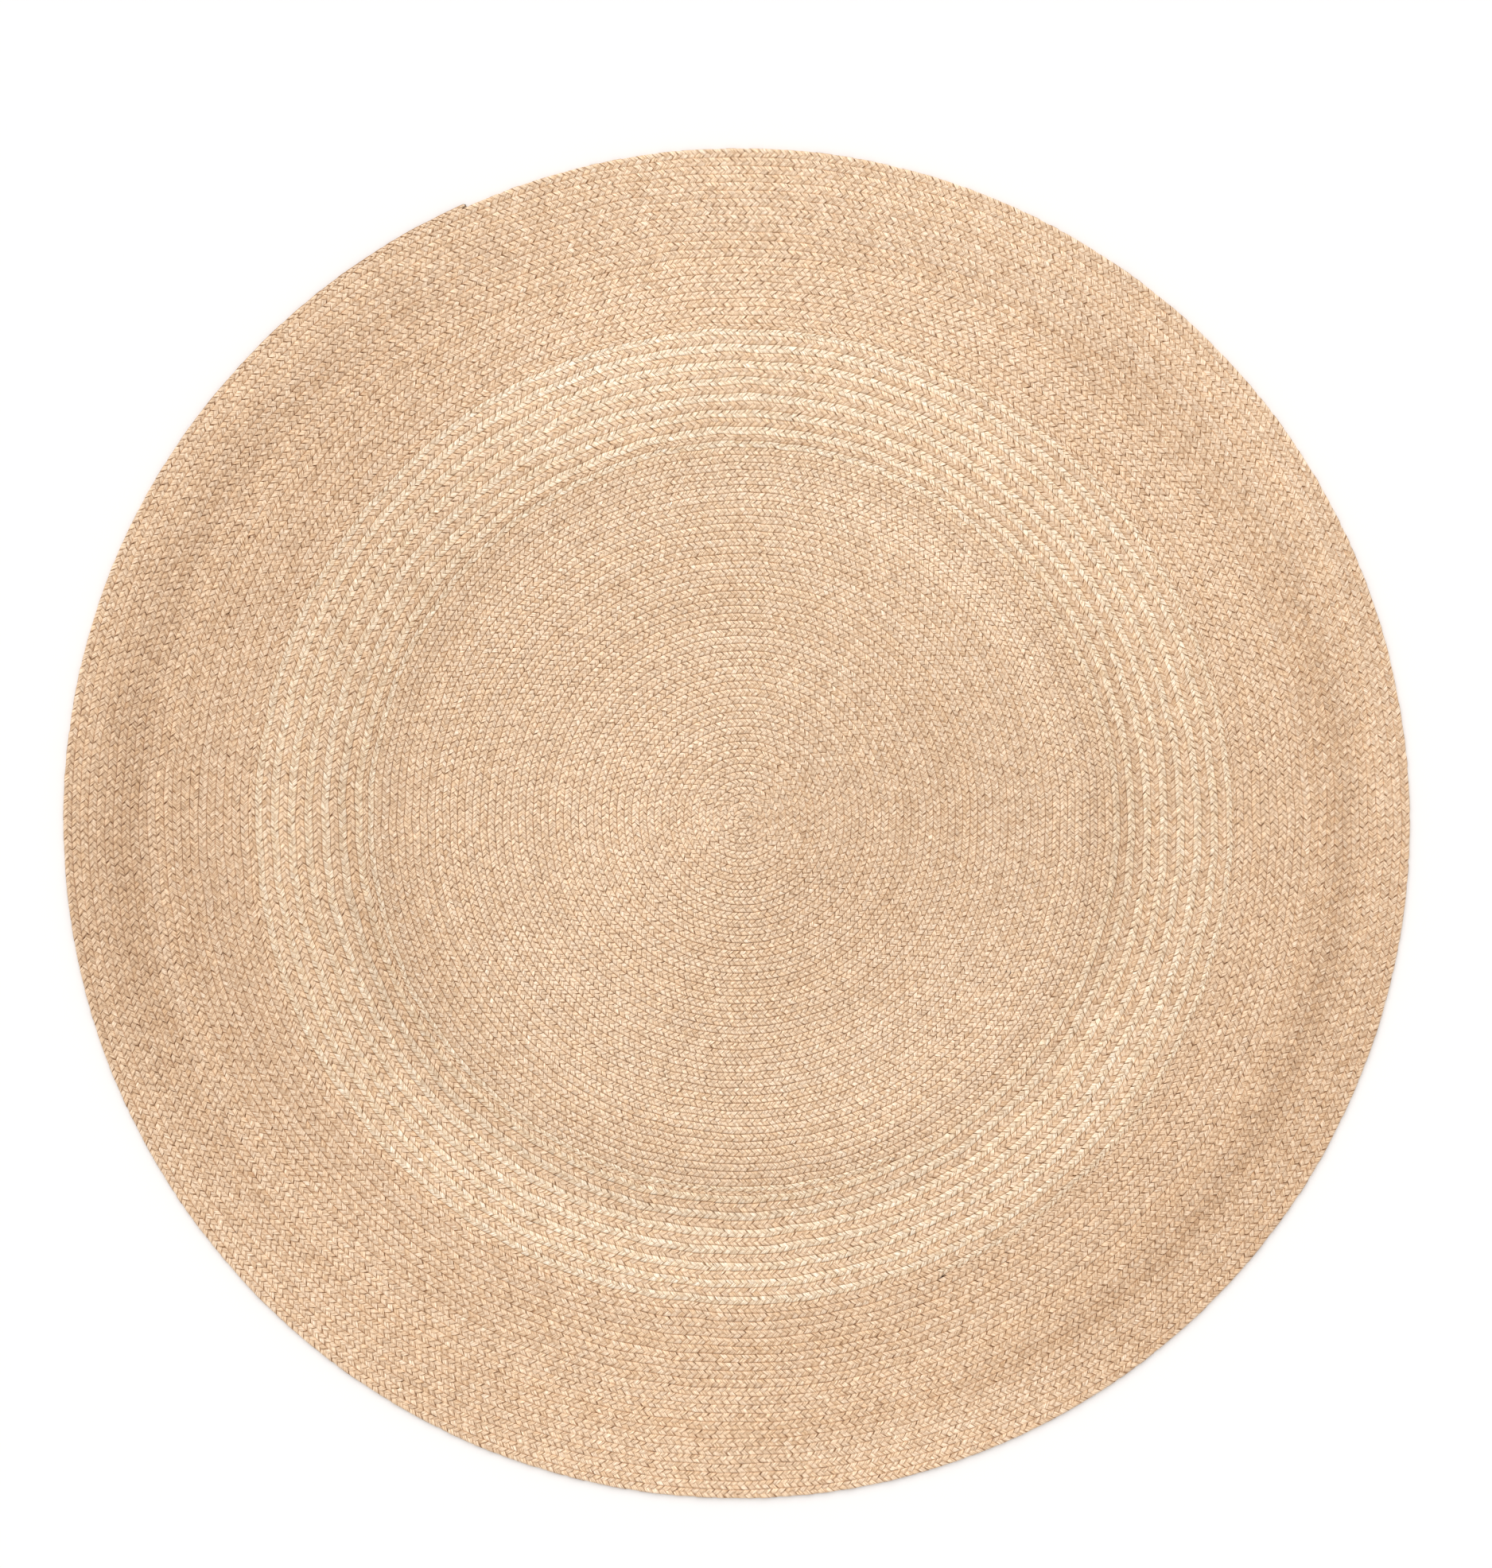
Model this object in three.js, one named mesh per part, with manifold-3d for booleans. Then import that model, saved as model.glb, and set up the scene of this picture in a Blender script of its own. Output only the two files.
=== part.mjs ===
// A round rug made of flat three-strand jute plait, wound into a spiral and sewn edge to edge.
//
// The plait comes in lengths that are joined end to end. Each length is one solid here: the patch
// of rug that its turns cover, with the true spiral edge inside and outside and a radial cut at
// each end. For some turns beyond the finer plait, a companion plait is wound beside the main one,
// and these two are solid spiral strips. A bar tack of sewing thread holds each join, the folded
// start and the tapered tail.
//
// Millimetres, +Z up. The rug lies on the plane z = 0 with its box centred on the origin.

import * as THREE from 'three';
import { mergeVertices } from 'three/addons/utils/BufferGeometryUtils.js';
import Module from 'manifold-3d';

const wasm = await Module();
wasm.setup();

// ---------------------------------------------------------------- driving dimensions

const RUG_DIAMETER = 2000;
const THICKNESS = 8;
const OVAL = 0.003; // the rug is this share longer along Y and shorter along X

const FINE_WIDTH = 11.2; // one turn of the finer plait round the middle
const FINE_TURNS = 49.5;
const PAIR_TURNS = 7; // turns in which two broader plaits lie side by side
const BROAD_TURNS = 22.5; // turns of one broader plait, out to the edge
const FINE_RADIUS = FINE_WIDTH * FINE_TURNS;
const BROAD_WIDTHS = 2 * PAIR_TURNS + BROAD_TURNS - 0.5; // half a turn is lost at the edge
const BROAD_WIDTH = (RUG_DIAMETER / 2 - FINE_RADIUS) / BROAD_WIDTHS;
const PAIR_RADIUS = FINE_RADIUS + 2 * PAIR_TURNS * BROAD_WIDTH;
const LAST_RADIUS = PAIR_RADIUS + BROAD_TURNS * BROAD_WIDTH;
const TURNS = FINE_TURNS + PAIR_TURNS + BROAD_TURNS;
const PAIR_END = FINE_TURNS + PAIR_TURNS + 1; // the companion gets narrower over one more turn

const FIRST_REVERSAL = 41.4; // the turn after which the plait is joined on the other way round
const LAST_REVERSAL = 65.9;
const INNER_LENGTHS = 3; // up to the first reversal
const MIDDLE_LENGTHS = 2; // from the end of the pair to the last reversal
const OUTER_LENGTHS = 3; // from there to the tail

const START_OFFSET = new THREE.Vector2(8.6, 6.5); // where the coil starts, from the rug's middle
const TAIL_ANGLE = THREE.MathUtils.degToRad(114); // where the last turn ends
const TAPER_TURNS = 0.12; // the stretch over which the tail gets narrower
const TAIL_SHARE = 0.3; // the tail's last width, as a share of the plait's

const CLEARANCE = 0.3; // between solids that touch
const FACETS = 72; // straight facets in one turn

const THREAD = 0.9; // a tack's thread, laid flat
const TACK_LENGTH = 30;
const TACK_WIDTH = 6;
const TACK_ZIGZAGS = 6;
const TACK_Z = 0.1; // the thread stays just off the floor
const POCKET_DEPTH = TACK_Z + THREAD + CLEARANCE;

const JUTE_SHADES = [0xe1c1a0, 0xdcbb98, 0xe6c9aa, 0xd8b592];
const THREAD_COLOUR = 0xcbb08c;

// ---------------------------------------------------------------- the spiral

/** How far the coil reaches from its start, after this many turns. */
function seamRadius(turn) {
  const fine = Math.min(Math.max(turn, 0), FINE_TURNS);
  const pair = Math.min(Math.max(turn - FINE_TURNS, 0), PAIR_TURNS);
  const broad = Math.max(turn - FINE_TURNS - PAIR_TURNS, 0);
  return fine * FINE_WIDTH + (2 * pair + broad) * BROAD_WIDTH;
}

/** The plait's width where it has made this many turns, as a share of its full width. */
function widthShare(turn) {
  const left = Math.max(TURNS - turn, 0);
  const taper = Math.min(left / TAPER_TURNS, 1);
  return TAIL_SHARE + (1 - TAIL_SHARE) * taper;
}

/** The direction in which the coil has turned, clockwise seen from above. */
function windingAngle(turn) {
  return TAIL_ANGLE + 2 * Math.PI * (TURNS - turn);
}

/** A point at this radius and turn. The coil's middle drifts evenly from its start to the rug's. */
function spiralPoint(turn, radius) {
  const angle = windingAngle(turn);
  const drift = START_OFFSET.clone().multiplyScalar(1 - radius / LAST_RADIUS);
  const around = new THREE.Vector2((1 - OVAL) * Math.cos(angle), (1 + OVAL) * Math.sin(angle));
  return around.multiplyScalar(radius).add(drift);
}

/** The outer edge of the plait, which the next turn lies against. */
function edgeRadius(turn) {
  const inner = seamRadius(turn - 1);
  return inner + (seamRadius(turn) - inner) * widthShare(turn);
}

/** The seam between the two plaits of the pair. The companion is narrow at both its ends. */
function pairSeamRadius(turn) {
  const fromEnd = Math.min(turn - FINE_TURNS, PAIR_END - turn, 1);
  const companionWidth = BROAD_WIDTH * (TAIL_SHARE + (1 - TAIL_SHARE) * fromEnd);
  return seamRadius(turn) - companionWidth;
}

/**
 * One turn of the plait's outer edge, ending at lastTurn. The loop closes along the radial cut
 * between two lengths. It is moved out by shift, and its cut forward by the same distance.
 */
function edgeLoop(lastTurn, shift) {
  const cutTurns = shift / (2 * Math.PI * seamRadius(lastTurn));
  const points = [];
  for (let i = 0; i <= FACETS; i += 1) {
    const turn = lastTurn - 1 + i / FACETS;
    const atCut = i === 0 || i === FACETS;
    points.push(spiralPoint(atCut ? turn + cutTurns : turn, edgeRadius(turn) + shift));
  }
  return points;
}

/** An edge of one plait of the pair, from its start to its end, moved out by shift. */
function pairEdge(radiusAt, shift) {
  const count = (PAIR_END - FINE_TURNS) * FACETS;
  const points = [];
  for (let i = 0; i <= count; i += 1) {
    const turn = FINE_TURNS + i / FACETS;
    const inward = (i === 0 ? 1 : 0) - (i === count ? 1 : 0); // away from the cut at each end
    const cutTurns = inward * CLEARANCE / 2 / (2 * Math.PI * radiusAt(turn));
    points.push(spiralPoint(turn + cutTurns, radiusAt(turn) + shift));
  }
  return points;
}

// ---------------------------------------------------------------- solids

/** A three.js geometry as a manifold solid. */
function toSolid(geometry, matrix = new THREE.Matrix4()) {
  const plain = geometry.clone().applyMatrix4(matrix);
  plain.deleteAttribute('normal');
  plain.deleteAttribute('uv');
  const merged = mergeVertices(plain, 1e-4);
  return new wasm.Manifold(new wasm.Mesh({
    numProp: 3,
    vertProperties: new Float32Array(merged.attributes.position.array),
    triVerts: new Uint32Array(merged.index.array),
  }));
}

function toGeometry(solid) {
  const mesh = solid.getMesh();
  const geometry = new THREE.BufferGeometry();
  geometry.setAttribute('position', new THREE.BufferAttribute(mesh.vertProperties, 3));
  geometry.setIndex(new THREE.BufferAttribute(mesh.triVerts, 1));
  geometry.computeVertexNormals();
  return geometry;
}

/**
 * The patch of rug that one plait length covers, from its first turn to its last. An outline that
 * runs anticlockwise and a hole that runs clockwise extrude to a solid that faces outwards.
 */
function lengthGeometry(firstTurn, lastTurn) {
  const shape = new THREE.Shape(edgeLoop(lastTurn, -CLEARANCE / 2).reverse());
  if (firstTurn > 0) {
    shape.holes.push(new THREE.Path(edgeLoop(firstTurn, CLEARANCE / 2)));
  }
  return new THREE.ExtrudeGeometry(shape, { depth: THICKNESS, bevelEnabled: false });
}

/** The spiral strip that one plait of the pair covers, between its inner and its outer edge. */
function pairGeometry(innerRadiusAt, outerRadiusAt) {
  const inner = pairEdge(innerRadiusAt, CLEARANCE / 2);
  const outer = pairEdge(outerRadiusAt, -CLEARANCE / 2).reverse();
  const shape = new THREE.Shape([...inner, ...outer]);
  return new THREE.ExtrudeGeometry(shape, { depth: THICKNESS, bevelEnabled: false });
}

/** A flat zigzag of thread along X, centred on the origin, resting at z = 0. */
function tackGeometry() {
  const step = TACK_LENGTH / TACK_ZIGZAGS;
  const half = THREAD / 2 * Math.hypot(step, TACK_WIDTH) / step; // half the thread along Y
  const reach = TACK_WIDTH / 2 - half;
  const line = [];
  for (let i = 0; i <= TACK_ZIGZAGS; i += 1) {
    line.push(new THREE.Vector2((i - TACK_ZIGZAGS / 2) * step, i % 2 ? reach : -reach));
  }
  const lower = line.map((point) => new THREE.Vector2(point.x, point.y - half));
  const upper = line.map((point) => new THREE.Vector2(point.x, point.y + half)).reverse();
  const outline = new THREE.Shape([...lower, ...upper]);
  return new THREE.ExtrudeGeometry(outline, { depth: THREAD, bevelEnabled: false });
}

/** The pocket in the underside that a tack lies in. */
function pocketGeometry() {
  return new THREE.BoxGeometry(
    TACK_LENGTH + 2 * CLEARANCE,
    TACK_WIDTH + 2 * CLEARANCE,
    2 * POCKET_DEPTH,
  );
}

// ---------------------------------------------------------------- the parts of this rug

/** The turns that split a single plait into this many equal lengths, the last one included. */
function splitTurns(firstTurn, lastTurn, width, count) {
  const firstRadius = seamRadius(firstTurn);
  const area = seamRadius(lastTurn) ** 2 - firstRadius ** 2;
  const ends = [];
  for (let i = 1; i <= count; i += 1) {
    const radius = Math.sqrt(firstRadius ** 2 + area * i / count);
    ends.push(firstTurn + (radius - firstRadius) / width);
  }
  return ends;
}

/** The turn at which each length of the main plait ends. */
function lengthEnds() {
  return [
    ...splitTurns(0, FIRST_REVERSAL, FINE_WIDTH, INNER_LENGTHS),
    FINE_TURNS,
    PAIR_END,
    ...splitTurns(PAIR_END, LAST_REVERSAL, BROAD_WIDTH, MIDDLE_LENGTHS),
    ...splitTurns(LAST_REVERSAL, TURNS, BROAD_WIDTH, OUTER_LENGTHS),
  ];
}

/** Where a tack lies: along the plait at a join, across the seam at the tail. */
function tackPlace(turn, turned) {
  const radius = (seamRadius(turn - 1) + edgeRadius(turn)) / 2;
  const place = spiralPoint(turn, radius);
  const along = windingAngle(turn) - Math.PI / 2;
  return { place, angle: along + turned };
}

function tackPlaces(ends) {
  const places = new Map();
  places.set('centre_tack', { place: START_OFFSET.clone(), angle: 0 });
  ends.slice(0, -1).forEach((end, i) => {
    places.set(`splice_tack_${String(i + 1).padStart(2, '0')}`, tackPlace(end, 0));
  });
  const tail = tackPlace(TURNS - TACK_LENGTH / (2 * Math.PI * LAST_RADIUS), Math.PI / 2);
  tail.place.multiplyScalar(1 - TACK_LENGTH / 2 / LAST_RADIUS);
  places.set('tail_tack', tail);
  return places;
}

function placeMatrix({ place, angle }, z) {
  const turn = new THREE.Matrix4().makeRotationZ(angle);
  return new THREE.Matrix4().makeTranslation(place.x, place.y, z).multiply(turn);
}

function jute(i) {
  return new THREE.MeshStandardMaterial({
    color: JUTE_SHADES[i % JUTE_SHADES.length],
    roughness: 0.9,
    metalness: 0,
  });
}

function sewingThread() {
  return new THREE.MeshStandardMaterial({ color: THREAD_COLOUR, roughness: 0.7, metalness: 0 });
}

function buildRug() {
  const rug = new THREE.Group();
  const ends = lengthEnds();
  const tacks = tackPlaces(ends);
  const pocket = pocketGeometry();
  const pockets = [...tacks.values()].map((tack) => toSolid(pocket, placeMatrix(tack, 0)));

  const addPlait = (name, geometry, shade) => {
    let solid = toSolid(geometry);
    for (const cut of pockets) solid = solid.subtract(cut);
    const mesh = new THREE.Mesh(toGeometry(solid), jute(shade));
    mesh.name = name;
    rug.add(mesh);
  };
  ends.forEach((end, i) => {
    const geometry = end === PAIR_END
      ? pairGeometry((turn) => seamRadius(turn - 1), pairSeamRadius)
      : lengthGeometry(i ? ends[i - 1] : 0, end);
    addPlait(`plait_length_${String(i + 1).padStart(2, '0')}`, geometry, i);
  });
  addPlait('companion_plait', pairGeometry(pairSeamRadius, seamRadius), ends.length);

  for (const [name, tack] of tacks) {
    const mesh = new THREE.Mesh(tackGeometry(), sewingThread());
    mesh.name = name;
    mesh.position.set(tack.place.x, tack.place.y, TACK_Z);
    mesh.rotation.z = tack.angle;
    rug.add(mesh);
  }

  // The rug's box is centred on the origin.
  rug.updateMatrixWorld(true);
  const middle = new THREE.Box3().setFromObject(rug).getCenter(new THREE.Vector3());
  rug.position.set(-middle.x, -middle.y, 0);
  return rug;
}

export default buildRug();
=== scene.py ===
"""A round rug of plaited jute: three-strand plait wound in a spiral and sewn underneath, on a pale floor.

Metres, +Z up, in the CAD model's frame. The spiral is the CAD model's own, worked out again from the
same driving dimensions and centred on the CAD box. Every strand of the plait is a real closed tube.
"""

import math

import bpy
import numpy as np
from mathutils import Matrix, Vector


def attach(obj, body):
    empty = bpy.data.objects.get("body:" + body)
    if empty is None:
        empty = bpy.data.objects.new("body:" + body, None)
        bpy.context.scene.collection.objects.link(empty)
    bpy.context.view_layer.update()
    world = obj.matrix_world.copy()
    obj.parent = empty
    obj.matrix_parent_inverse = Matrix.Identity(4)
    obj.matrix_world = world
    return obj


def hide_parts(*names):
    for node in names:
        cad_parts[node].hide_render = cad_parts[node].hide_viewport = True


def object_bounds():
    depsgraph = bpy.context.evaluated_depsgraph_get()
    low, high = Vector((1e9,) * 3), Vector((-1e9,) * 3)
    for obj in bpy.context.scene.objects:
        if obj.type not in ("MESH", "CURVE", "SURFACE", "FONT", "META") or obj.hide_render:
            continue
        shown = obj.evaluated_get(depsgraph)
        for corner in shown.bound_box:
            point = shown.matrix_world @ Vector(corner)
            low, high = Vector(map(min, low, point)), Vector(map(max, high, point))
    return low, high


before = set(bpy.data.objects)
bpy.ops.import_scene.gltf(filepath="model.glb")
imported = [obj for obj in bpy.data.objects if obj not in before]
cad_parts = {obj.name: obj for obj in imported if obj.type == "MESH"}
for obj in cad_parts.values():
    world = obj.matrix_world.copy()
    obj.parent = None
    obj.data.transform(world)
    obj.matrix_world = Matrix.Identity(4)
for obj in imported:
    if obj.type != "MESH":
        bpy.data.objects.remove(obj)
CAD_LOW, CAD_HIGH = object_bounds()

# ---------------------------------------------------------------- driving dimensions

MM = 0.001
TAU = 2 * math.pi

RUG_DIAMETER = 2000 * MM
THICKNESS = CAD_HIGH.z - CAD_LOW.z
OVAL = 0.003  # the rug is this share longer along Y and shorter along X
FINE_WIDTH = 11.2 * MM
FINE_TURNS = 49.5
PAIR_TURNS = 7  # turns in which two broader plaits lie side by side
BROAD_TURNS = 22.5
FINE_RADIUS = FINE_WIDTH * FINE_TURNS
BROAD_WIDTH = (RUG_DIAMETER / 2 - FINE_RADIUS) / (2 * PAIR_TURNS + BROAD_TURNS - 0.5)
LAST_RADIUS = FINE_RADIUS + (2 * PAIR_TURNS + BROAD_TURNS) * BROAD_WIDTH
TURNS = FINE_TURNS + PAIR_TURNS + BROAD_TURNS
PAIR_END = FINE_TURNS + PAIR_TURNS + 1
FIRST_REVERSAL = 41.4  # the turn after which the plait is joined on the other way round
LAST_REVERSAL = 65.9  # and the turn after which it is the first way round again
INNER_LENGTHS = 3  # equal lengths of plait up to the first reversal
MIDDLE_LENGTHS = 2  # and between the pair and the last reversal
OUTER_LENGTHS = 3
START_OFFSET = np.array([8.6, 6.5]) * MM  # from the rug's middle to the start of the coil
TAIL_ANGLE = math.radians(114)
TAPER_TURNS = 0.12  # the turns over which the tail narrows
TAIL_SHARE = 0.3  # the share of its width that is left at its tip

WAVER = 0.45 * MM  # each bend's reach, where hand-laid turns stray from the true spiral
WAVER_COUNTS = (5, 9, 14, 22, 31, 45, 60)  # bends in each turn
WAVER_DRIFT = 60  # the most radians by which a bend moves round with each metre of radius
WAVER_FULL = 0.6  # the radius in metres from which the bends have their full reach
RIM = 50 * MM  # the belt in which the bends fade towards the rug's edge

FIRST_TURN = 0.12  # the tucked-in start
START_WIDTH = 6 * MM
START_FOLD = 8 * MM  # how far the start reaches to each side, where the plait is folded back on itself
FOLD_REACH = 5 * FINE_WIDTH  # the radius over which the coil turns from oval to round
FINE_LOBE = 9.0 * MM  # from one lobe of the plait to the next, along it
BROAD_LOBE = 11.0 * MM
PITCH_SPREAD = 0.05  # how much looser or tighter the plait gets, as a share of its pitch
PITCH_SPACING = 350 * MM
STRANDS = 3
STRAND_THICKNESS = 3.8 * MM
LOBE_FILL = 1.04  # how much of its pitch a lobe fills
FILL_SPREAD = 0.07  # how much that changes at random, as a share
LOBE_SHIFT = 0.16  # how far a lobe strays along the plait, in radians of phase
TALL_SPREAD = 0.12  # how much a lobe's thickness changes at random, as a share
MIDDLE_TALL = 0.78  # a strand's thickness in the middle of the plait, as a share of that at its edge
LIFT_SPREAD = 0.25 * MM  # how far a lobe rises or sinks at random
FINE_MESH = 0.3 * MM  # how far neighbouring turns of the finer plait mesh where they are sewn
BROAD_MESH = 0.6 * MM
MESH_SPREAD = 0.6 * MM  # how much that changes at random from lobe to lobe of the broader plait
TILT = math.radians(30)  # how far a strand's two sides differ in phase where it goes under
UNDERSIDE = 0.6 * MM  # the strands' lowest points; the sewing thread reaches the floor

SAMPLES = 11  # rings of points for each strand in one period of the plait
TRACK_STEPS = 900  # steps along the plait in each turn
RING_ALONG = np.array([1, 0, -1, -1, 0, 1])  # a ring's points along the plait
RING_TALL = np.array([0.72, 1, 0.72, -0.72, -1, -0.72])  # and their height
RING_CORNER = np.abs(RING_ALONG) > 0.5
EDGE_SQUARE = 1.4  # how much fuller a ring's corners are at the plait's edges
SIDES = len(RING_ALONG)

SLOPE_STEP = 0.02  # the change of phase over which a strand's slope is measured

NOISE_VALUES = 4096  # random values before smooth noise repeats
LOBE_VALUES = 65536
FIBRE_SHIFT = 3.7  # metres along the fibre pattern from one strand to the next

THREAD = 0.9 * MM
STITCH = 7 * MM  # from one bend of the seam's zigzag to the next
STITCH_REACH = 2.4 * MM  # how far each bend reaches past the seam
TACK_LENGTH = 30 * MM  # a bar tack, as in the CAD model
TACK_WIDTH = 6 * MM
TACK_BENDS = 18

JUTE = {
    "jute_fine": (0.912, 0.692, 0.488),
    "jute_pale": (0.926, 0.742, 0.541),
    "jute_broad": (0.862, 0.634, 0.434),
}
PAINTED_CREASE_SHADE = (0.52, 0.39, 0.28)  # painted shade: how much of its colour the jute keeps in a crease or at a seam
SEAM_SHADE_SHARE = 0.10  # the share of the plait's half width that has painted shade at a seam
SEAM_SHADE_FADE = 0.35  # how much less of it has painted shade in the broader plait, and again in the outer lengths
DULLING = np.array([1, 1.33, 1.67])  # a darker tone loses more green and blue than red
WARMTH = np.array([0.006, -0.015, -0.048])  # how a warmer stretch of strand, or a warmer lobe, differs
WARMTH_SPACING = 0.9

# Changes of tone are shares of the jute's colour. Angles are in degrees, seen from above.
PAINTED_SIDE_LIGHT = [  # painted light and shade: change, how many sides of the rug have it, and the angle that one of them faces
    (0.03, 1, 80),
    (0.055, 2, 82),
]
PAINTED_SIDE_LIGHT_FULL = 0.8  # the radius from which the sides' painted light and shade are full
RING_TONES = [  # change, the ring's radius and its width
    (0.03, 0.66, 0.06),
    (-0.035, 0.55, 0.03),
]
ARC_TONES = [  # the same for an arc, then the angle that it faces and how sharply it ends
    (-0.12, 0.91, 0.035, 170, 2),
    (-0.10, 0.90, 0.025, -32, 2),
    (0.06, 0.96, 0.04, 55, 1),
]
PATCH_TONE = 0.025  # the most that soft patches change
PATCH_SIZE = 0.3
STRAND_TONE = 0.05  # slow changes along each strand
STRAND_TONE_SPACING = 2.2
SHORT_TONE = 0.035  # and quicker ones
SHORT_TONE_SPACING = 0.5
LOBE_TONE = 0.06
STREAKS = (95.0, 3.2, 3.2)  # the pattern's scale along a strand, in cells per metre, and around it
FINE_STREAKS = (260.0, 9.0, 9.0)
FLECKS = (110.0, 4.0, 4.0)
BARK = (0.20, 0.12, 0.06, 1)
THREAD_COLOUR = (0.60, 0.44, 0.27, 1)
FLOOR_COLOUR = (0.905, 0.883, 0.866, 1)

FLOOR_SIDE = 16
STUDIO_LIGHT = 0.82
SUN_STRENGTH = 1.40
SUN_ANGLE = math.radians(60)  # how wide the soft light looks from the rug
TO_SUN = Vector((-0.2, 0.75, 0.9))
VIEW_HEIGHT = 2.3242  # the height of the floor that the camera sees
VIEW_MIDDLE = (14.0 * MM, 58.2 * MM)

# ---------------------------------------------------------------- small tools


def smooth_noise(x, spacing, seed):
    """Smooth noise from -1 to 1 along x, with a new random value at every spacing."""
    values = np.random.default_rng(seed).uniform(-1, 1, NOISE_VALUES)
    place = np.asarray(x) / spacing
    cell = np.floor(place).astype(int)
    share = place - cell
    share = share * share * (3 - 2 * share)
    return values[cell % NOISE_VALUES] * (1 - share) + values[(cell + 1) % NOISE_VALUES] * share


def patches(plan, size, seed):
    """Soft noise from about -1 to 1 over the floor plan, with patches of about this size."""
    rng = np.random.default_rng(seed)
    waves = 7
    total = np.zeros(len(plan))
    for _ in range(waves):
        direction, start = rng.uniform(0, TAU, 2)
        length = size * rng.uniform(1.4, 3.0)
        reach = plan[:, 0] * math.cos(direction) + plan[:, 1] * math.sin(direction)
        total += np.sin(reach * TAU / length + start)
    return total / math.sqrt(waves)


def hump(x, middle, width):
    """1 at the middle, falling smoothly to nothing."""
    return np.exp(-(((x - middle) / width) ** 2))


def link_piece(name, data):
    """An object in the scene, made from a mesh, a lamp or a camera."""
    piece = bpy.data.objects.new(name, data)
    bpy.context.scene.collection.objects.link(piece)
    return piece


# ---------------------------------------------------------------- the spiral


def seam_radius(turn):
    """How far the coil reaches from its start, after this many turns."""
    fine = np.clip(turn, 0, FINE_TURNS)
    pair = np.clip(turn - FINE_TURNS, 0, PAIR_TURNS)
    broad = np.maximum(turn - FINE_TURNS - PAIR_TURNS, 0)
    return fine * FINE_WIDTH + (2 * pair + broad) * BROAD_WIDTH


def pair_seam_radius(turn):
    """The seam between the two plaits of the pair. The companion is narrow at both its ends."""
    from_end = np.clip(np.minimum(turn - FINE_TURNS, PAIR_END - turn), 0, 1)
    return seam_radius(turn) - BROAD_WIDTH * (TAIL_SHARE + (1 - TAIL_SHARE) * from_end)


def main_edges(turn):
    """The inner and the outer edge of the main plait."""
    inner = seam_radius(turn - 1)
    taper = np.clip((TURNS - turn) / TAPER_TURNS, 0, 1)
    outer = inner + (seam_radius(turn) - inner) * (TAIL_SHARE + (1 - TAIL_SHARE) * taper)
    in_pair = (turn > FINE_TURNS) & (turn < PAIR_END)
    return inner, np.where(in_pair, pair_seam_radius(turn), outer)


def companion_edges(turn):
    """The inner and the outer edge of the companion plait."""
    return pair_seam_radius(turn), seam_radius(turn)


def winding_angle(turn):
    """The coil is wound clockwise, seen from above."""
    return TAIL_ANGLE + TAU * (TURNS - turn)


def waver(angle, radius):
    """How far the hand-laid seams stray from the true spiral, more so further out but not at the rim."""
    rng = np.random.default_rng(8)
    stray = np.zeros_like(radius)
    for count in WAVER_COUNTS:
        drift, start = rng.uniform(-WAVER_DRIFT, WAVER_DRIFT), rng.uniform(0, TAU)
        stray = stray + np.sin(count * angle + drift * radius + start)
    room = np.clip(radius / WAVER_FULL, 0, 1) * np.clip((LAST_RADIUS - radius) / RIM, 0.2, 1)
    return stray * WAVER * room


def on_plan(turn, radius):
    """A point of the floor plan at this turn and radius, before the plan is centred."""
    angle = winding_angle(turn)
    drift = 1 - radius / LAST_RADIUS
    fold = START_FOLD * np.exp(-radius / FOLD_REACH)
    x = (1 - OVAL) * (radius + fold) * np.cos(angle) + START_OFFSET[0] * drift
    y = (1 + OVAL) * radius * np.sin(angle) + START_OFFSET[1] * drift
    return np.stack([x, y], axis=-1)


def plan_shift():
    """What centres the plan on the CAD box."""
    turn = np.linspace(TURNS - 1, TURNS, 721)
    rim = on_plan(turn, main_edges(turn)[1])
    middle = np.array([(CAD_LOW.x + CAD_HIGH.x) / 2, (CAD_LOW.y + CAD_HIGH.y) / 2])
    return middle - (rim.min(axis=0) + rim.max(axis=0)) / 2


PLAN_SHIFT = plan_shift()


def split_turns(first_turn, last_turn, width, count):
    """The turns that split a single plait into this many equal lengths, the last one included."""
    first_radius = seam_radius(first_turn)
    area = seam_radius(last_turn) ** 2 - first_radius**2
    return [
        first_turn + (math.sqrt(first_radius**2 + area * i / count) - first_radius) / width
        for i in range(1, count + 1)
    ]


def length_ends():
    """The turn at which each length of the main plait ends, as in the CAD model."""
    return [
        *split_turns(0, FIRST_REVERSAL, FINE_WIDTH, INNER_LENGTHS),
        FINE_TURNS,
        PAIR_END,
        *split_turns(PAIR_END, LAST_REVERSAL, BROAD_WIDTH, MIDDLE_LENGTHS),
        *split_turns(LAST_REVERSAL, TURNS, BROAD_WIDTH, OUTER_LENGTHS),
    ]


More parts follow.
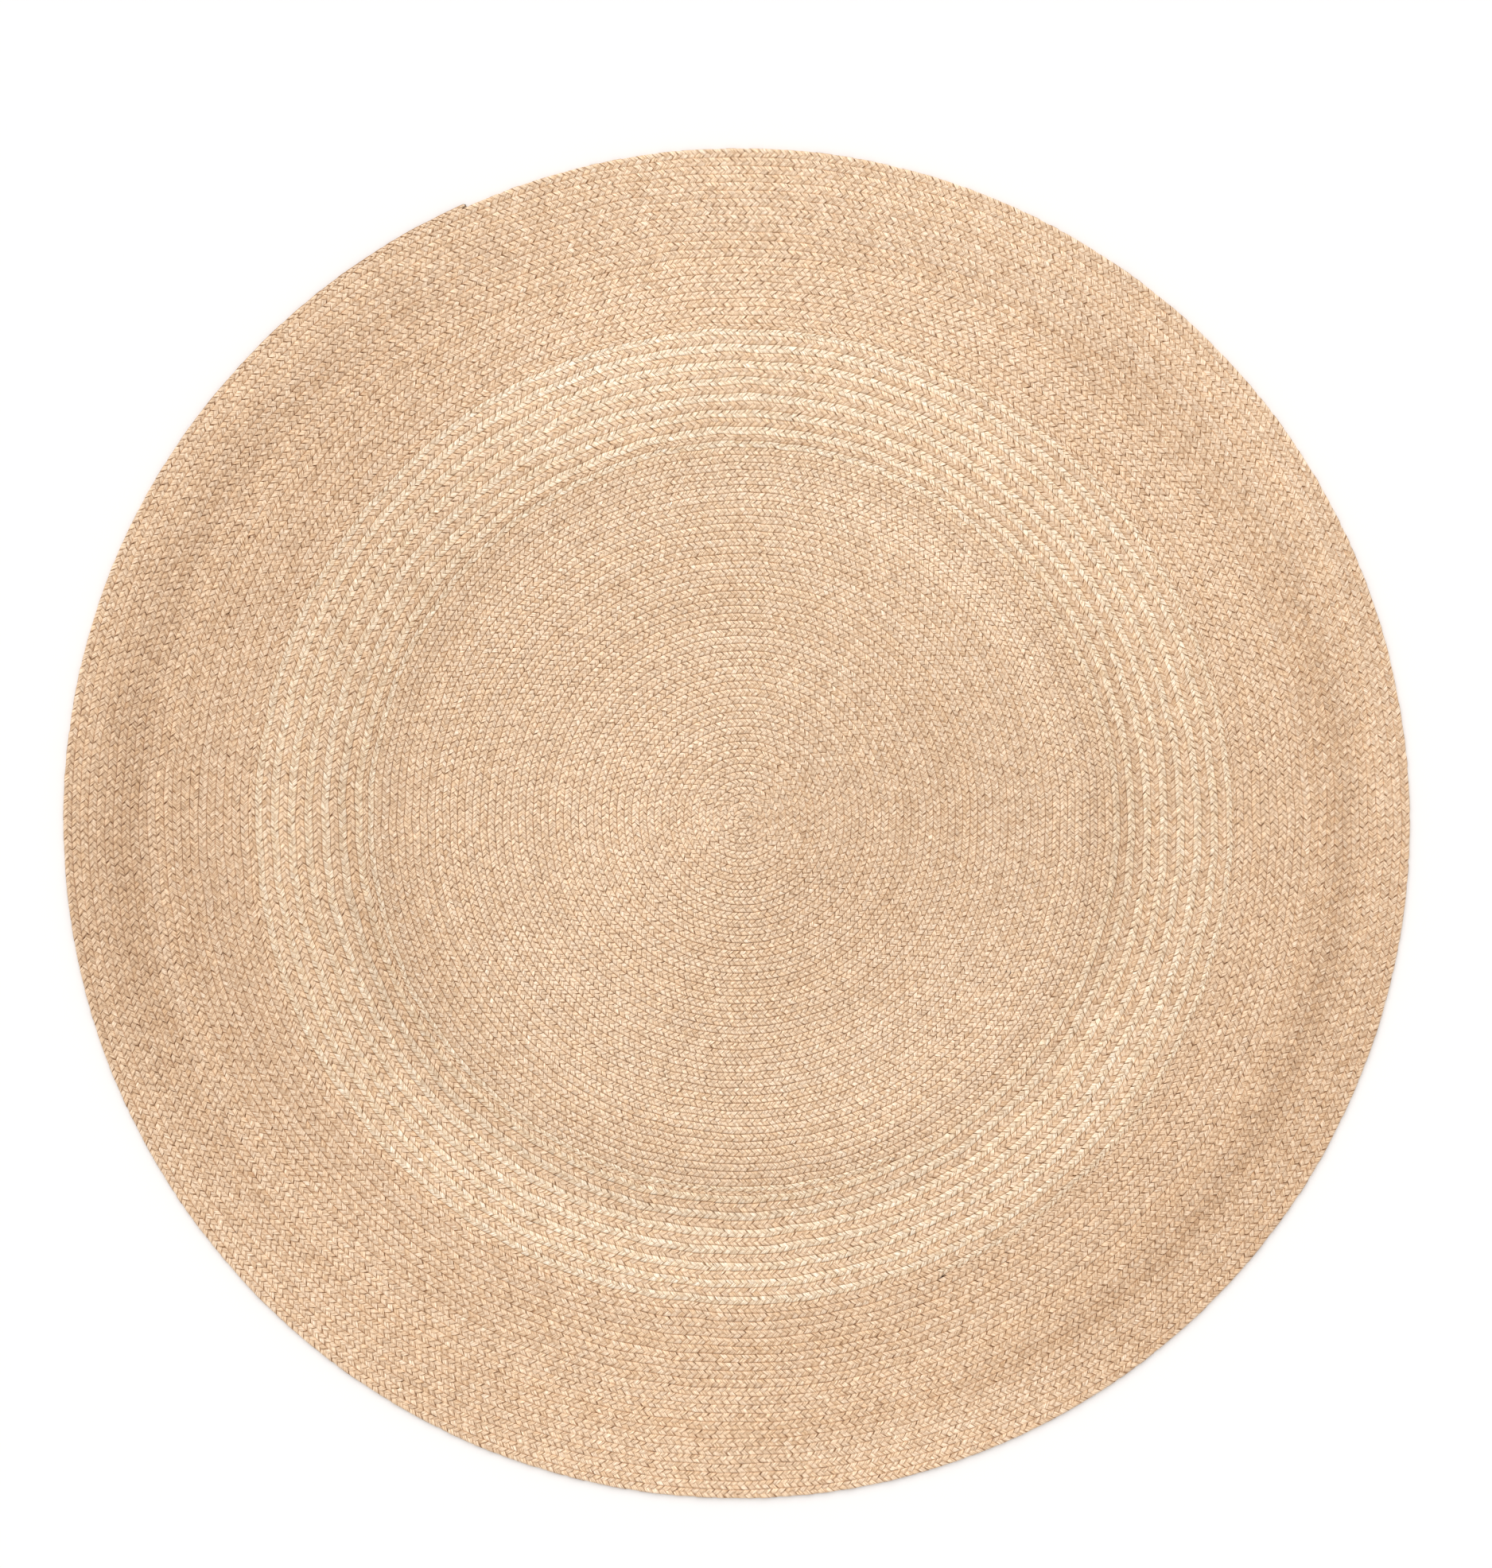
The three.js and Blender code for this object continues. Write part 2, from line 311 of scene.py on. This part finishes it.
class Track:
    """The middle line of a plait from its start to its end, at close steps along it."""

    def __init__(self, edges, first_turn, last_turn):
        steps = int(TRACK_STEPS * (last_turn - first_turn))
        self.turn = np.linspace(first_turn, last_turn, steps)
        angle = winding_angle(self.turn)
        inner, outer = edges(self.turn)
        inner = inner + waver(angle, inner)
        outer = outer + waver(angle, outer)
        self.width = np.maximum(outer - inner, START_WIDTH)
        self.outer_edge = outer
        self.plan = on_plan(self.turn, (inner + outer) / 2) + PLAN_SHIFT
        step = np.hypot(*np.diff(self.plan, axis=0).T)
        self.length = np.concatenate([[0], np.cumsum(step)])
        lobe = np.where(self.turn < FINE_TURNS, FINE_LOBE, BROAD_LOBE)
        lobe = lobe * (1 + PITCH_SPREAD * smooth_noise(self.length, PITCH_SPACING, 3))
        pace = TAU / (STRANDS * lobe)
        self.phase = np.concatenate([[0], np.cumsum(step * (pace[1:] + pace[:-1]) / 2)])
        ahead = np.gradient(self.plan, axis=0)
        ahead /= np.linalg.norm(ahead, axis=1, keepdims=True)
        self.outward = np.stack([-ahead[:, 1], ahead[:, 0]], axis=-1)

    def phases(self, turns):
        """The plait's phase after these turns, kept clear of its two ends."""
        margin = math.pi / STRANDS
        return np.clip(np.interp(turns, self.turn, self.phase), margin, self.phase[-1] - margin)

    def at(self, phase, name):
        """One of the track's values at these phases."""
        values = getattr(self, name)
        if values.ndim == 1:
            return np.interp(phase, self.phase, values)
        return np.stack([np.interp(phase, self.phase, column) for column in values.T], axis=-1)


# ---------------------------------------------------------------- strands


def lobe_noise(turned, seed):
    """A random value from -1 to 1 for each visible lobe, which changes only while the strand is below."""
    values = np.random.default_rng(seed).uniform(-1, 1, LOBE_VALUES)
    place = (turned - math.pi / 2) / math.pi
    lobe = np.floor(place).astype(int)
    share = np.clip((place - lobe - 0.6) / 0.35, 0, 1)
    return values[lobe % LOBE_VALUES] * (1 - share) + values[(lobe + 1) % LOBE_VALUES] * share


def across_wave(turned):
    """A strand's place across the plait, from -1 to 1: straight slants, with a fold at each edge."""
    swing = np.sin(turned)
    slant = np.arcsin(swing) * 2 / math.pi
    return 0.9 * np.clip(1.5 * slant, -1, 1) + 0.1 * swing


def height_wave(turned):
    """A strand's height, from -1 underneath to 1 on top. It goes over from each edge to the middle."""
    swing = -np.sin(2 * turned)
    return swing * (1.3 - 0.3 * swing**2)


def strand_rings(track, phase, turned, way, seed):
    """The points of one strand, one ring of points at each phase, and how near each is to a seam, where
    the material paints shade.

    A ring lies along the plait, not squarely across the strand, so the strand folds at the plait's
    edges as a flat bundle of fibre does. Where two strands cross, the leading side dips under.
    """
    turned = turned[:, None]
    edge = np.sin(turned) ** 2
    fill = LOBE_FILL * (1 + FILL_SPREAD * lobe_noise(turned, seed))
    shift = LOBE_SHIFT * lobe_noise(turned, seed + 1)
    here = phase[:, None] + shift + math.pi / STRANDS * fill * RING_ALONG
    plan = track.at(here, "plan")
    outward = track.at(here, "outward")
    half = track.at(here, "width") / 2
    share = np.clip(half / (FINE_WIDTH / 2), 0, 1)
    turn = track.at(here, "turn")
    broad = np.clip((turn - FINE_TURNS) / 3, 0, 1)

    tall = STRAND_THICKNESS / 2 * (1 + TALL_SPREAD * lobe_noise(turned, seed + 2))
    tall = tall * (MIDDLE_TALL + (1 - MIDDLE_TALL) * edge)
    meshed = FINE_MESH + (BROAD_MESH - FINE_MESH + MESH_SPREAD * lobe_noise(turned, seed + 3)) * broad
    reach = half + meshed / 2 - STRAND_THICKNESS / 2 * share
    rise = (THICKNESS - STRAND_THICKNESS) / 2
    lift = LIFT_SPREAD * lobe_noise(turned, seed + 4)

    tilt = way * TILT * (1 - edge) * RING_ALONG
    near = SLOPE_STEP
    slope_across = reach * (across_wave(turned + near) - across_wave(turned - near))
    slope_up = rise * (height_wave(turned + tilt + near) - height_wave(turned + tilt - near))
    slope = np.hypot(slope_across, slope_up)
    thick = RING_TALL * (1 + (EDGE_SQUARE - 1) * edge * RING_CORNER) * tall
    across = reach * across_wave(turned) + thick * slope_up / slope
    up = THICKNESS / 2 + rise * height_wave(turned + tilt) - thick * slope_across / slope + lift
    points = plan + outward * across[..., None]
    rings = np.concatenate([points, np.maximum(up, UNDERSIDE)[..., None]], axis=-1)
    outer = np.clip((turn - LAST_REVERSAL) / 2, 0, 1)
    return rings, np.abs(across) / half - SEAM_SHADE_SHARE * SEAM_SHADE_FADE * (broad + outer)


def tube_mesh(name, rings, facing):
    """A closed tube through rings of points. A facing of -1 turns its faces over."""
    count, sides = rings.shape[:2]
    first = np.arange(count - 1)[:, None] * sides
    here = np.arange(sides)[None, :]
    after = (here + 1) % sides
    quads = np.stack([first + here, first + after, first + sides + after, first + sides + here], axis=-1)
    quads = quads.reshape(-1, 4)[:, ::facing]
    start_cap = np.arange(sides)[::-facing]
    end_cap = (count - 1) * sides + np.arange(sides)[::facing]
    corners = np.concatenate([quads.ravel(), start_cap, end_cap]).astype(np.int32)
    starts = np.concatenate([np.arange(len(quads)) * 4, quads.size + np.array([0, sides])])
    mesh = bpy.data.meshes.new(name)
    mesh.vertices.add(count * sides)
    mesh.vertices.foreach_set("co", rings.astype(np.float32).ravel())
    mesh.loops.add(len(corners))
    mesh.loops.foreach_set("vertex_index", corners)
    mesh.polygons.add(len(starts))
    mesh.polygons.foreach_set("loop_start", starts.astype(np.int32))
    mesh.update(calc_edges=True)
    mesh.polygons.foreach_set("use_smooth", np.ones(len(starts), bool))
    lay_out(mesh, count - 1, sides, facing)
    return mesh


def lay_out(mesh, quads_long, sides, facing):
    """A flat map of the tube, cut into rows that fill the square."""
    rows = max(4, round(math.sqrt(quads_long / (sides + 1))))
    per_row = math.ceil(quads_long / rows)
    i = np.repeat(np.arange(quads_long), sides)
    j = np.tile(np.arange(sides), quads_long)
    left = (i % per_row) / per_row
    right = left + 1 / per_row
    low = (i // per_row + (j + 0.5) / (sides + 1)) / rows
    high = low + 1 / (sides + 1) / rows
    uv = np.stack([left, low, left, high, right, high, right, low], axis=-1).reshape(-1, 4, 2)
    uv = uv[:, ::facing].reshape(-1, 2)
    caps = np.full((2 * sides, 2), 0.5 / rows)
    layer = mesh.uv_layers.new(name="OFBake")
    layer.uv.foreach_set("vector", np.concatenate([uv, caps]).astype(np.float32).ravel())


def sharpen_corners(mesh, sides):
    """Crisp edges along the strand's corners, which lie in the creases between lobes."""
    ends = np.empty(2 * len(mesh.edges), np.int32)
    mesh.edges.foreach_get("vertices", ends)
    side = ends.reshape(-1, 2) % sides
    along_a_corner = (side[:, 0] == side[:, 1]) & RING_CORNER[side[:, 0]]
    sharp = mesh.attributes.new("sharp_edge", "BOOLEAN", "EDGE")
    sharp.data.foreach_set("value", along_a_corner)


def set_attribute(mesh, name, kind, values):
    """Give each point of a mesh a value that its material can read."""
    field = {"FLOAT": "value", "FLOAT_VECTOR": "vector", "FLOAT_COLOR": "color"}[kind]
    mesh.attributes.new(name, kind, "POINT").data.foreach_set(field, values.astype(np.float32).ravel())


def broad_tone(plan):
    """Slow changes of tone over the rug, as shares: painted light and shade on its sides, a pale ring and
    dull outer arcs.
    """
    angle = np.arctan2(plan[:, 1], plan[:, 0])
    radius = np.hypot(plan[:, 0], plan[:, 1])
    tone = np.zeros_like(radius)
    # painted light and shade: lighter towards the far side, which faces the light, a little lighter
    # towards the near side, darker to the left and right
    for change, sides, faces in PAINTED_SIDE_LIGHT:
        tone += change * np.cos(sides * (angle - math.radians(faces)))
    tone *= np.clip(radius / PAINTED_SIDE_LIGHT_FULL, 0, 1)
    for change, middle, width in RING_TONES:
        tone += change * hump(radius, middle, width)
    for change, middle, width, faces, ending in ARC_TONES:
        facing = np.clip(np.cos(angle - math.radians(faces)), 0, 1) ** ending
        tone += change * hump(radius, middle, width) * facing
    return tone


def strand_colour(track, phase, turned, base, seed):
    """The jute's colour at each ring, with painted light and shade on the rug's sides. It changes from
    lobe to lobe, from strand to strand and slowly.
    """
    length = track.at(phase, "length")
    plan = track.at(phase, "plan")
    light = broad_tone(plan) + PATCH_TONE * patches(plan, PATCH_SIZE, 5)
    light += STRAND_TONE * smooth_noise(length, STRAND_TONE_SPACING, seed)
    light += SHORT_TONE * smooth_noise(length, SHORT_TONE_SPACING, seed + 1)
    light += LOBE_TONE * lobe_noise(turned, seed + 2)
    warm = smooth_noise(length, WARMTH_SPACING, seed + 3) + lobe_noise(turned, seed + 4)
    colour = np.array(base) * (1 + light[:, None]) ** DULLING
    return colour * (1 + warm[:, None] * WARMTH)


def make_strand(name, track, turns, strand, way, slot, material):
    """One strand of a length of plait, with what its material needs to know at each point."""
    start, end = track.phases(turns)
    phase = np.linspace(start, end, max(4, round((end - start) / TAU * SAMPLES)))
    turned = way * phase + TAU * strand / STRANDS
    seed = 1000 * len(track.turn) + 20 * strand
    rings, near_seam = strand_rings(track, phase, turned, way, seed)
    mesh = tube_mesh(name, rings, way)
    sharpen_corners(mesh, SIDES)
    set_attribute(mesh, "near_seam", "FLOAT", near_seam)

    colour = strand_colour(track, phase, turned, JUTE[slot], seed + 10)
    opaque = np.ones((len(colour), 1))
    set_attribute(mesh, "tint", "FLOAT_COLOR", np.repeat(np.hstack([colour, opaque]), SIDES, axis=0))
    around = TAU * np.tile(np.arange(SIDES) / SIDES, len(phase))
    along = np.repeat(track.at(phase, "length") + FIBRE_SHIFT * strand, SIDES)
    fibre = np.stack([along, np.cos(around), np.sin(around)], axis=-1)
    set_attribute(mesh, "fibre", "FLOAT_VECTOR", fibre)
    set_attribute(mesh, "side", "FLOAT", np.tile(np.abs(RING_ALONG), len(phase)))
    mesh.materials.append(material)
    return link_piece(name, mesh)


# ---------------------------------------------------------------- sewing thread


def zigzag_tube(name, points):
    """A square-sectioned thread through points, in the plane of the floor."""
    ahead = np.gradient(points, axis=0)
    ahead /= np.linalg.norm(ahead, axis=1, keepdims=True)
    side = np.stack([-ahead[:, 1], ahead[:, 0]], axis=-1) * THREAD / 2
    ring = []
    for across, up in ((1, 0.5), (0, 1), (-1, 0.5), (0, 0)):
        height = np.full(len(points), up * THREAD)
        ring.append(np.column_stack([points + across * side, height]))
    return tube_mesh(name, np.stack(ring, axis=1), 1)


def seam_points(track, turns):
    """The bends of the zigzag that sews these turns of the plait to the next turn out."""
    sewn_turns = np.minimum(turns, TURNS - 1)
    start, end = np.interp(sewn_turns, track.turn, track.length)
    bends = int((end - start) / STITCH)
    along = np.linspace(start, end, bends)
    turn = np.interp(along, track.length, track.turn)
    edge = np.interp(along, track.length, track.outer_edge)
    reach = np.where(np.arange(bends) % 2, STITCH_REACH, -STITCH_REACH)
    return on_plan(turn, edge + reach) + PLAN_SHIFT


def tack_points(middle, angle):
    """The bends of a bar tack: a long zigzag, closer than the seam's."""
    along = np.linspace(-0.5, 0.5, TACK_BENDS) * (TACK_LENGTH - THREAD)
    reach = np.where(np.arange(TACK_BENDS) % 2, 0.5, -0.5) * (TACK_WIDTH - 2 * THREAD)
    ahead = np.array([math.cos(angle), math.sin(angle)])
    sideways = np.array([-ahead[1], ahead[0]])
    return middle + along[:, None] * ahead + reach[:, None] * sideways


def tack_places(ends):
    """Each tack's middle and direction, as in the CAD model."""
    places = {"centre_tack": (START_OFFSET, 0.0)}
    for i, end in enumerate(ends[:-1]):
        radius = (seam_radius(end - 1) + seam_radius(end)) / 2
        places[f"splice_tack_{i + 1:02d}"] = (on_plan(end, radius), winding_angle(end) - math.pi / 2)
    turn = TURNS - TACK_LENGTH / (TAU * LAST_RADIUS)
    middle = on_plan(turn, sum(main_edges(turn)) / 2) * (1 - TACK_LENGTH / 2 / LAST_RADIUS)
    places["tail_tack"] = (middle, winding_angle(turn))
    return places


# ---------------------------------------------------------------- materials


class Nodes:
    """A short way to add shader nodes and join them up."""

    def __init__(self, name):
        self.material = bpy.data.materials.new(name)
        self.material.use_nodes = True
        self.tree = self.material.node_tree
        self.shader = self.tree.nodes["Principled BSDF"]

    def add(self, kind, operation=None, **inputs):
        """A new node. An input is given by its name, or by its number after an underscore."""
        node = self.tree.nodes.new("ShaderNode" + kind)
        if operation:
            node.operation = operation
        for key, value in inputs.items():
            self.put(node.inputs[int(key[1:]) if key[1:].isdigit() else key.replace("_", " ")], value)
        return node

    def put(self, socket, value):
        if isinstance(value, bpy.types.NodeSocket):
            self.tree.links.new(value, socket)
        else:
            socket.default_value = value

    def attribute(self, name, output):
        node = self.tree.nodes.new("ShaderNodeAttribute")
        node.attribute_name = name
        return node.outputs[output]

    def remap(self, value, low, high, to_low, to_high):
        inputs = {"Value": value, "From_Min": low, "From_Max": high, "To_Min": to_low, "To_Max": to_high}
        return self.add("MapRange", **inputs).outputs["Result"]

    def noise(self, vector, detail):
        return self.add("TexNoise", Vector=vector, Scale=1.0, Detail=detail).outputs["Fac"]

    def stretched(self, vector, scale):
        """A vector with each of its parts scaled, so that a pattern is longer one way than another."""
        return self.add("VectorMath", "MULTIPLY", _0=vector, _1=scale).outputs[0]


def jute_material(name):
    """Plaited jute: fine streaks along each strand, painted shade in its creases and at its seams, a few
    dark flecks of bark.
    """
    n = Nodes(name)
    n.shader.inputs["Specular IOR Level"].default_value = 0.25
    n.shader.inputs["Sheen Weight"].default_value = 0.12
    n.shader.inputs["Sheen Roughness"].default_value = 0.5
    fibre = n.attribute("fibre", "Vector")
    side = n.attribute("side", "Fac")
    streaks = n.noise(n.stretched(fibre, STREAKS), 4.0)
    fine_streaks = n.noise(n.stretched(fibre, FINE_STREAKS), 2.0)
    grain = n.add("Math", "MULTIPLY_ADD", _0=fine_streaks, _1=0.8, _2=streaks).outputs[0]
    level = n.remap(grain, 0.60, 1.12, 0.48, 1.24)
    dulled = [n.add("Math", "POWER", _0=level, _1=float(power)).outputs[0] for power in DULLING]
    levels = n.add("CombineXYZ", _0=dulled[0], _1=dulled[1], _2=dulled[2]).outputs[0]
    colour = n.add("VectorMath", "MULTIPLY", _0=n.attribute("tint", "Color"), _1=levels).outputs[0]
    # painted shade: a darker colour in the creases between lobes and at the seams between turns
    corner_shade = n.remap(side, 0.82, 1.0, 0.0, 1.0)
    seam_shade = n.remap(n.attribute("near_seam", "Fac"), 1 - SEAM_SHADE_SHARE, 1.0, 0.0, 1.0)
    in_painted_shade = n.add("Math", "MAXIMUM", _0=corner_shade, _1=seam_shade).outputs[0]
    crease_shaded = n.add("VectorMath", "MULTIPLY", _0=colour, _1=PAINTED_CREASE_SHADE).outputs[0]
    mixed = n.add("MixRGB", Fac=in_painted_shade, Color1=colour, Color2=crease_shaded).outputs[0]
    fleck = n.remap(n.noise(n.stretched(fibre, FLECKS), 0.0), 0.82, 0.86, 0.0, 1.0)
    n.put(n.shader.inputs["Base Color"], n.add("MixRGB", Fac=fleck, Color1=mixed, Color2=BARK).outputs[0])
    n.put(n.shader.inputs["Roughness"], n.remap(streaks, 0.0, 1.0, 0.95, 0.75))

    rounded = n.remap(side, 0.55, 1.0, 1.0, 0.0)
    height = n.add("Math", "MULTIPLY_ADD", _0=fine_streaks, _1=0.5, _2=rounded).outputs[0]
    height = n.add("Math", "ADD", _0=height, _1=streaks).outputs[0]
    bump = n.add("Bump", Strength=0.45, Distance=0.4 * MM, Height=height)
    n.put(n.shader.inputs["Normal"], bump.outputs["Normal"])
    return n.material


def thread_material():
    """Matt spun thread."""
    n = Nodes("sewing_thread")
    n.shader.inputs["Base Color"].default_value = THREAD_COLOUR
    n.shader.inputs["Specular IOR Level"].default_value = 0.3
    place = n.add("TexCoord").outputs["Object"]
    grain = n.noise(n.stretched(place, (2500.0, 2500.0, 2500.0)), 2.0)
    n.put(n.shader.inputs["Roughness"], n.remap(grain, 0.3, 0.7, 0.6, 0.8))
    return n.material


def floor_material():
    """Matt white, just bright enough to look white all over."""
    n = Nodes("floor_white")
    n.shader.inputs["Base Color"].default_value = FLOOR_COLOUR
    n.shader.inputs["Roughness"].default_value = 0.9
    n.shader.inputs["Specular IOR Level"].default_value = 0.1
    return n.material


# ---------------------------------------------------------------- the rug


def place_piece(piece, node=None):
    """Fix a piece to the rug's one body and in place of a CAD solid."""
    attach(piece, "root")
    if node:
        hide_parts(node)


def make_length(label, node, track, turns, way, slot, materials):
    """One length of plait: its three strands, and the thread that sews it to the next turn."""
    for strand in range(STRANDS):
        name = f"{label}_strand_{'abc'[strand]}"
        piece = make_strand(name, track, turns, strand, way, slot, materials[slot])
        place_piece(piece, node)
    mesh = zigzag_tube(f"{label}_seam_thread", seam_points(track, turns))
    mesh.materials.append(materials["sewing_thread"])
    place_piece(link_piece(mesh.name, mesh))


def plait_kind(middle_turn):
    """The material slot of a length of the main plait, and which way its lobes point."""
    slot = "jute_broad"
    if middle_turn < FINE_TURNS:
        slot = "jute_fine"
    elif middle_turn < PAIR_END:
        slot = "jute_pale"
    return slot, -1 if FIRST_REVERSAL < middle_turn < LAST_REVERSAL else 1


def make_rug():
    materials = {slot: jute_material(slot) for slot in JUTE}
    materials["sewing_thread"] = thread_material()
    ends = length_ends()
    starts = [FIRST_TURN] + ends[:-1]
    track = Track(main_edges, FIRST_TURN, TURNS)
    for i, turns in enumerate(zip(starts, ends)):
        slot, way = plait_kind(sum(turns) / 2)
        make_length(f"plait_{i + 1:02d}", f"plait_length_{i + 1:02d}", track, turns, way, slot, materials)
    turns = (FINE_TURNS, PAIR_END)
    track = Track(companion_edges, *turns)
    make_length("companion", "companion_plait", track, turns, 1, "jute_broad", materials)
    for node, (middle, angle) in tack_places(ends).items():
        mesh = zigzag_tube(f"{node}_thread", tack_points(middle, angle) + PLAN_SHIFT)
        mesh.materials.append(materials["sewing_thread"])
        place_piece(link_piece(mesh.name, mesh), node)


# ---------------------------------------------------------------- stage


def make_floor():
    mesh = bpy.data.meshes.new("floor")
    half = FLOOR_SIDE / 2
    corners = [(-half, -half, 0), (half, -half, 0), (half, half, 0), (-half, half, 0)]
    mesh.from_pydata(corners, [], [(0, 1, 2, 3)])
    mesh.materials.append(floor_material())
    link_piece("floor", mesh)


def make_light():
    """A bright even studio, with soft light from beyond the rug's far side."""
    world = bpy.data.worlds.new("studio")
    world.use_nodes = True
    background = world.node_tree.nodes["Background"]
    background.inputs["Color"].default_value = (1, 1, 1, 1)
    background.inputs["Strength"].default_value = STUDIO_LIGHT
    bpy.context.scene.world = world
    lamp = bpy.data.lights.new("soft_sun", "SUN")
    lamp.angle = SUN_ANGLE
    lamp.energy = SUN_STRENGTH
    sun = link_piece("soft_sun", lamp)
    sun.rotation_euler = TO_SUN.to_track_quat("Z", "Y").to_euler()
    settings = bpy.context.scene.view_settings
    settings.view_transform = "Standard"
    settings.look = "None"


def make_camera():
    """Straight above, and placed so that the rug lies a little left of and below the picture's middle."""
    camera = bpy.data.cameras.new("camera")
    camera.lens = 85
    camera.sensor_width = 36
    camera.clip_end = 50
    eye = link_piece("camera", camera)
    height = VIEW_HEIGHT * camera.lens / camera.sensor_width + THICKNESS
    eye.location = (VIEW_MIDDLE[0], VIEW_MIDDLE[1], height)
    bpy.context.scene.camera = eye


make_camera()
make_light()
make_floor()
make_rug()
